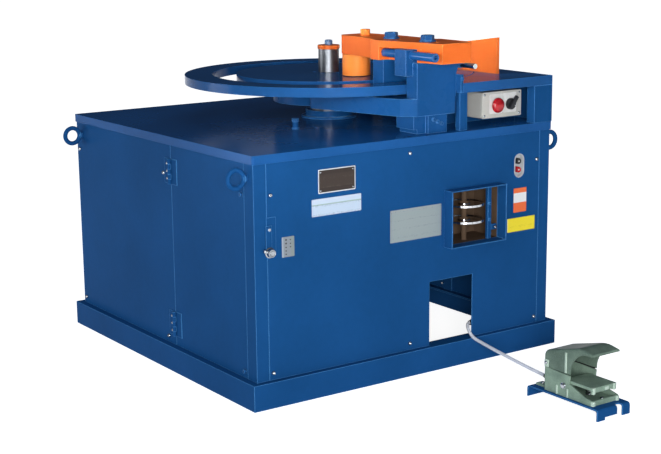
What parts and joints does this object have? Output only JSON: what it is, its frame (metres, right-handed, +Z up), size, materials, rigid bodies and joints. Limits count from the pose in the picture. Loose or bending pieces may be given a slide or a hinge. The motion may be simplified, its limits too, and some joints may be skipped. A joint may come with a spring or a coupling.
{
  "type": "rebar bender",
  "caption": "Powered rebar bender: steel cabinet, round table in a ring, and a swing arm whose roller bends bar round a centre roller; foot switch on a cord.",
  "frame": {"origin": "on the floor, below the middle of the outline of the cabinet and its foot switch", "axes": "+Z up, +Y from the front with the foot switch to the back, +X to the right of the front"},
  "size_m": [1.1908, 1.722, 0.9816],
  "materials": {
    "blue_paint": "gloss enamel",
    "table_paint": "gloss enamel",
    "orange_paint": "gloss enamel",
    "primer": "brown primer",
    "bare_steel": "turned",
    "bright_steel": "plated",
    "gear_steel": "cut and oiled",
    "bearing_steel": "ground",
    "grey_box": "satin enamel",
    "cast_green": "hammer enamel on a casting",
    "motor_grey": "satin enamel",
    "red_plastic": "moulded",
    "black_plastic": "moulded",
    "label_film": "printed film",
    "cord_jacket": "soft jacket"
  },
  "bodies": {
    "frame": {"plinth_frame": "blue_paint", "cabinet_frame": "blue_paint", "front_panel": "blue_paint", "cabinet_panels": "blue_paint", "door_hinges": "blue_paint", "lifting_eyes": "blue_paint", "panel_screws": "bright_steel", "lower_table": "table_paint", "oil_filler": "blue_paint", "hub_housing": "blue_paint", "spindle_bearings": "bearing_steel", "gear_deck": "blue_paint", "gearbox_case": "motor_grey", "drive_motor": "motor_grey", "centre_post": "bare_steel", "inner_disc": "table_paint", "support_ring": "blue_paint", "ring_brackets": "blue_paint", "upper_table_frame": "blue_paint", "upper_table_plate": "table_paint", "home_stop": "blue_paint", "reaction_plate": "orange_paint", "control_box": "grey_box", "label_plates": "label_film", "button_station": "motor_grey", "guard_box": "blue_paint", "dial_housing": "primer", "dial_pointers": "blue_paint", "latch_plate": "blue_paint", "electrical_box": "grey_box", "limit_switches": "black_plastic", "foot_switch_bracket": "blue_paint", "foot_switch_base": "cast_green", "foot_switch_hood": "cast_green", "foot_switch_fasteners": "bright_steel", "pedal_spring": "bare_steel", "foot_switch_cord": "cord_jacket"},
    "left_door": {"left_door": "blue_paint"},
    "latch_strap": {"latch_strap": "blue_paint"},
    "latch_knob": {"latch_knob": "bright_steel"},
    "swing": {"swing_arm": "blue_paint", "hollow_spindle": "bare_steel", "bull_gear": "gear_steel", "slide_shoe": "blue_paint", "clamp_bolts": "blue_paint"},
    "locking_rod": {"locking_rod": "bright_steel"},
    "roller_arm": {"roller_arm": "orange_paint", "roller_axle": "bare_steel"},
    "adjusting_screw": {"adjusting_screw": "blue_paint"},
    "bending_roller": {"bending_roller": "orange_paint"},
    "head_lock_pin": {"head_lock_pin": "orange_paint"},
    "centre_roller": {"centre_roller": "bare_steel"},
    "pinion": {"pinion": "gear_steel"},
    "angle_dial_lower": {"angle_dial_lower": "bright_steel"},
    "angle_dial_upper": {"angle_dial_upper": "bright_steel"},
    "stop_button": {"stop_button": "red_plastic"},
    "selector_knob": {"selector_knob": "black_plastic"},
    "start_button": {"start_button": "black_plastic"},
    "power_off_button": {"power_off_button": "red_plastic"},
    "pedal": {"pedal": "cast_green"}
  },
  "joints": [
    {"name": "left_door_hinge", "type": "hinge", "parent": "frame", "child": "left_door", "pos_m": [-0.5373, 0.212, 0.375], "axis": [0, 0, 1], "range_deg": [-110, 0]},
    {"name": "latch_strap_swing", "type": "hinge", "parent": "frame", "child": "latch_strap", "pos_m": [-0.4875, -0.242, 0.497], "axis": [0, 1, 0], "range_deg": [0, 90]},
    {"name": "latch_knob_turn", "type": "hinge", "parent": "frame", "child": "latch_knob", "pos_m": [-0.4875, -0.251, 0.434], "axis": [0, 1, 0], "range_deg": [-180, 180]},
    {"name": "swing_turn", "type": "hinge", "parent": "frame", "child": "swing", "pos_m": [0.0785, 0.284, 0.64], "axis": [0, 0, 1], "range_deg": [-180, 0]},
    {"name": "locking_rod_pull", "type": "slide", "parent": "swing", "child": "locking_rod", "axis": [0, -1, 0], "range_m": [0, 0.02]},
    {"name": "roller_arm_slide", "type": "slide", "parent": "swing", "child": "roller_arm", "axis": [0, 1, 0], "range_m": [0, 0.03]},
    {"name": "adjusting_screw_turn", "type": "hinge", "parent": "roller_arm", "child": "adjusting_screw", "pos_m": [0.0335, -0.189, 0.92665], "axis": [0, 1, 0], "range_deg": [-2, 2162]},
    {"name": "bending_roller_spin", "type": "hinge", "parent": "roller_arm", "child": "bending_roller", "pos_m": [0.0805, 0.139, 0.87], "axis": [0, 0, 1], "continuous": true},
    {"name": "head_lock_pin_lift", "type": "slide", "parent": "roller_arm", "child": "head_lock_pin", "axis": [0, 0, 1], "range_m": [0, 0.012]},
    {"name": "centre_roller_spin", "type": "hinge", "parent": "frame", "child": "centre_roller", "pos_m": [0.0785, 0.284, 0.876], "axis": [0, 0, 1], "continuous": true},
    {"name": "pinion_turn", "type": "hinge", "parent": "frame", "child": "pinion", "pos_m": [-0.15533, 0.419, 0.578], "axis": [0, 0, 1], "range_deg": [-4, 724]},
    {"name": "angle_dial_lower_turn", "type": "hinge", "parent": "frame", "child": "angle_dial_lower", "pos_m": [0.2245, -0.204, 0.428], "axis": [0, 0, 1], "range_deg": [0, 180]},
    {"name": "angle_dial_upper_turn", "type": "hinge", "parent": "frame", "child": "angle_dial_upper", "pos_m": [0.2245, -0.204, 0.477], "axis": [0, 0, 1], "range_deg": [0, 180]},
    {"name": "stop_button_press", "type": "slide", "parent": "frame", "child": "stop_button", "axis": [0, 1, 0], "range_m": [0, 0.005], "stiffness_N_per_m": 600},
    {"name": "selector_turn", "type": "hinge", "parent": "frame", "child": "selector_knob", "pos_m": [0.4035, -0.209, 0.76], "axis": [0, 1, 0], "range_deg": [-45, 45]},
    {"name": "start_button_press", "type": "slide", "parent": "frame", "child": "start_button", "axis": [0, 1, 0], "range_m": [0, 0.003], "stiffness_N_per_m": 400},
    {"name": "power_off_button_press", "type": "slide", "parent": "frame", "child": "power_off_button", "axis": [0, 1, 0], "range_m": [0, 0.003], "stiffness_N_per_m": 400},
    {"name": "pedal_press", "type": "hinge", "parent": "frame", "child": "pedal", "pos_m": [0.1965, -0.721, 0.063], "axis": [1, 0, 0], "range_deg": [0, 8], "stiffness_Nm_per_rad": 5, "springref_deg": -22.92, "deforming": ["pedal_spring"]}
  ],
  "couplings": [
    {"joint": "pinion_turn", "follows": "swing_turn", "ratio": -4},
    {"joint": "adjusting_screw_turn", "follows": "roller_arm_slide", "rad_per_m": 1256.6}
  ]
}
